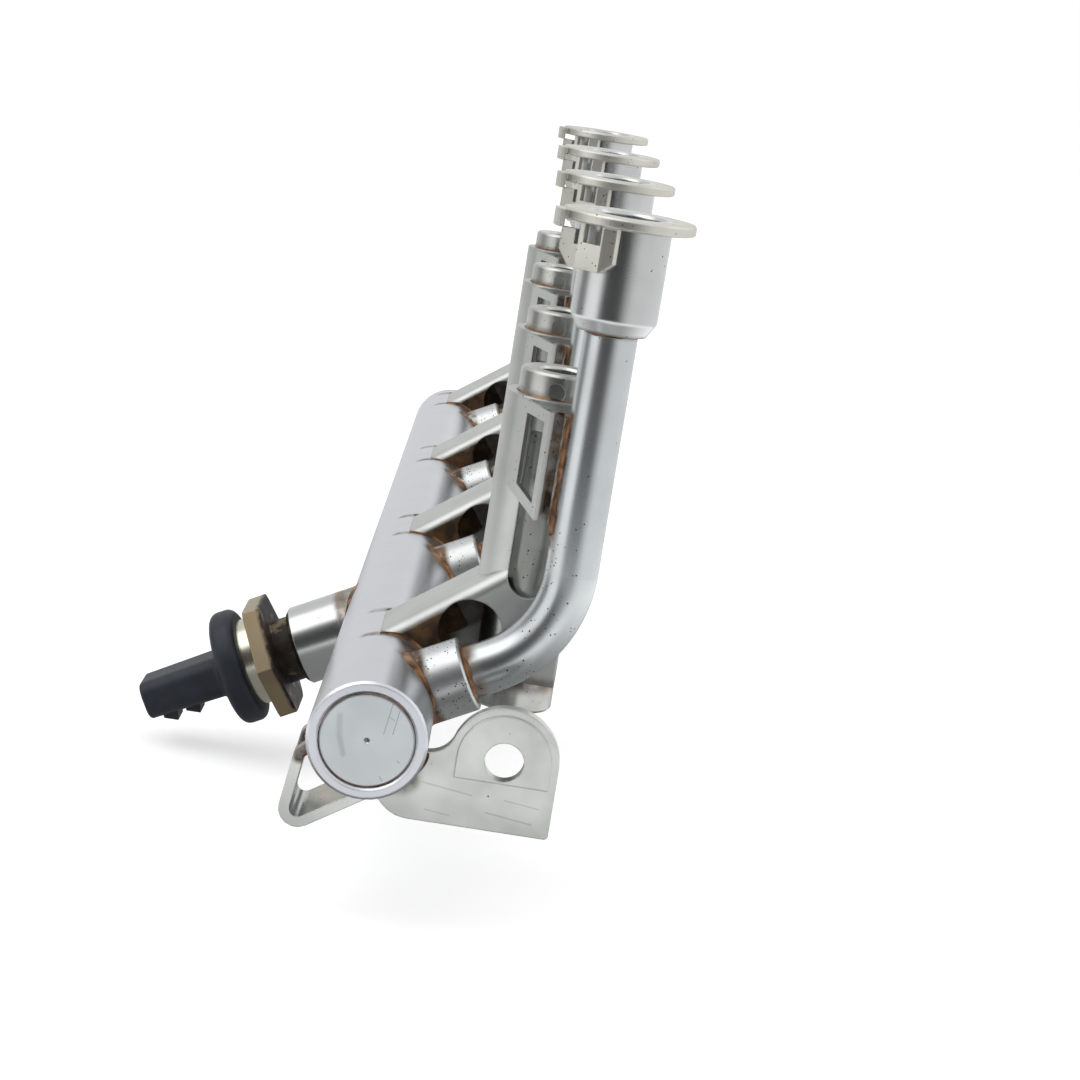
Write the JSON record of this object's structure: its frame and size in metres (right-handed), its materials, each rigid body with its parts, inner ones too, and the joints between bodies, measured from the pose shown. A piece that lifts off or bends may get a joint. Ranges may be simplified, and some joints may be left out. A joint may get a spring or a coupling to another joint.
{
  "type": "fuel rail",
  "caption": "Brazed steel fuel rail with bent branch pipes to flanged injector cups, sleeved bolt brackets, a pressure sensor and a wiring bracket.",
  "frame": {"origin": "centre of the four head bolts, on the plane where their sleeves seat on the cylinder head", "axes": "+Y along the rail from its closed end to its inlet, +Z out of the sleeves towards the cylinder head (the injector cups open to +Z), +X away from the rail tube towards the cups"},
  "size_m": [0.0976, 0.371, 0.129],
  "materials": {
    "rail_steel": "satin",
    "plug_steel": "turned, faint brown staining",
    "turned_steel": "satin, turned",
    "pipe_steel": "satin, drawn",
    "sheet_steel": "satin, brown heat stain at the joints",
    "flange_steel": "satin, stamped",
    "sleeve_steel": "satin, dark specks",
    "hexagon_bronze": "satin",
    "collar_metal": "bright",
    "board_laminate": "matt",
    "connector_plastic": "moulded, low sheen",
    "terminal_brass": "bright"
  },
  "bodies": {
    "root": {"rail_tube": "rail_steel", "end_plug": "plug_steel", "inlet_fitting": "turned_steel", "harness_bracket": "sheet_steel", "clip_loop": "sheet_steel", "sensor_port": "turned_steel", "sensor_body": "hexagon_bronze", "sensor_collar": "collar_metal", "sensor_board": "board_laminate", "sensor_connector": "connector_plastic", "sensor_terminals": "terminal_brass", "branch_sleeve_1": "turned_steel", "branch_pipe_1": "pipe_steel", "injector_cup_1": "turned_steel", "cup_flange_1": "flange_steel", "bolt_sleeve_1": "sleeve_steel", "bracket_1": "sheet_steel", "pipe_support_1": "sheet_steel", "branch_sleeve_2": "turned_steel", "branch_pipe_2": "pipe_steel", "injector_cup_2": "turned_steel", "cup_flange_2": "flange_steel", "bolt_sleeve_2": "sleeve_steel", "bracket_2": "sheet_steel", "pipe_support_2": "sheet_steel", "branch_sleeve_3": "turned_steel", "branch_pipe_3": "pipe_steel", "injector_cup_3": "turned_steel", "cup_flange_3": "flange_steel", "bolt_sleeve_3": "sleeve_steel", "bracket_3": "sheet_steel", "pipe_support_3": "sheet_steel", "branch_sleeve_4": "turned_steel", "branch_pipe_4": "pipe_steel", "injector_cup_4": "turned_steel", "cup_flange_4": "flange_steel", "bolt_sleeve_4": "sleeve_steel", "bracket_4": "sheet_steel", "pipe_support_4": "sheet_steel"}
  },
  "joints": []
}
